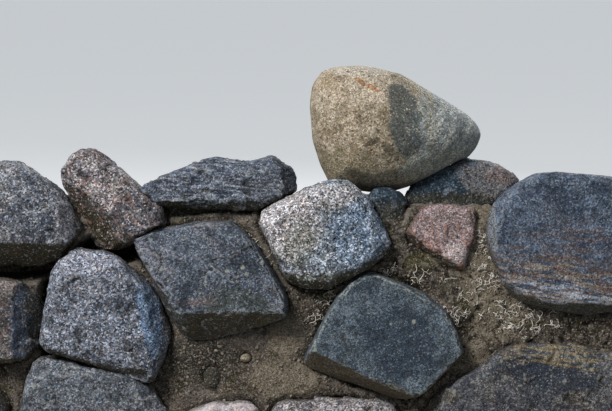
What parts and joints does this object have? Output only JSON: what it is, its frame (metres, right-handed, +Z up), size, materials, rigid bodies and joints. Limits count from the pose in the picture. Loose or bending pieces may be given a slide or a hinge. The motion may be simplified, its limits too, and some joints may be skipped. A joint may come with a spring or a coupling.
{
  "type": "dry stone wall",
  "caption": "Stretch of double-faced dry stone wall of field boulders packed with earth, with a loose rounded boulder perched on its cope.",
  "frame": {"origin": "on the ground, at the middle of the wall's foot in length and thickness", "axes": "+X along the wall, -Y out of the front face, +Z up"},
  "size_m": [2.4, 1.0107, 1.2192],
  "materials": {
    "grey_granite": "rough weathered grey granite with black and white grains",
    "dark_stone": "fine-grained dark blue-grey stone, weathered, with pale worn edges",
    "pink_granite": "coarse pink granite",
    "buff_stone": "smooth water-worn buff and brown-grey stone",
    "packed_earth": "dry packed brown-grey earth with small stones and root fibres"
  },
  "bodies": {
    "root": {"perched_boulder": "buff_stone", "left_cope_boulder": "grey_granite", "leaning_cope_stone": "pink_granite", "banded_cope_slab": "dark_stone", "round_grey_boulder": "grey_granite", "rear_cope_stone": "dark_stone", "rear_wedge_stone": "dark_stone", "pink_granite_stone": "pink_granite", "big_dark_slab": "dark_stone", "undercut_dark_block": "dark_stone", "grey_granite_block": "grey_granite", "left_low_boulder": "grey_granite", "diamond_slab": "dark_stone", "lower_left_block": "grey_granite", "lower_left_boulder": "grey_granite", "low_pale_stone": "buff_stone", "low_granite_stone": "grey_granite", "low_right_boulder": "buff_stone", "buried_cobble": "buff_stone", "earth_pebbles": "buff_stone", "left_run_stones": "grey_granite", "right_run_stones": "grey_granite", "front_foundation_stones": "grey_granite", "back_foundation_stones": "grey_granite", "back_second_course": "grey_granite", "back_third_course": "dark_stone", "back_cope_stones": "grey_granite", "left_end_stones": "grey_granite", "right_end_stones": "grey_granite", "crest_cobbles": "buff_stone", "earth_core": "packed_earth"}
  },
  "joints": []
}
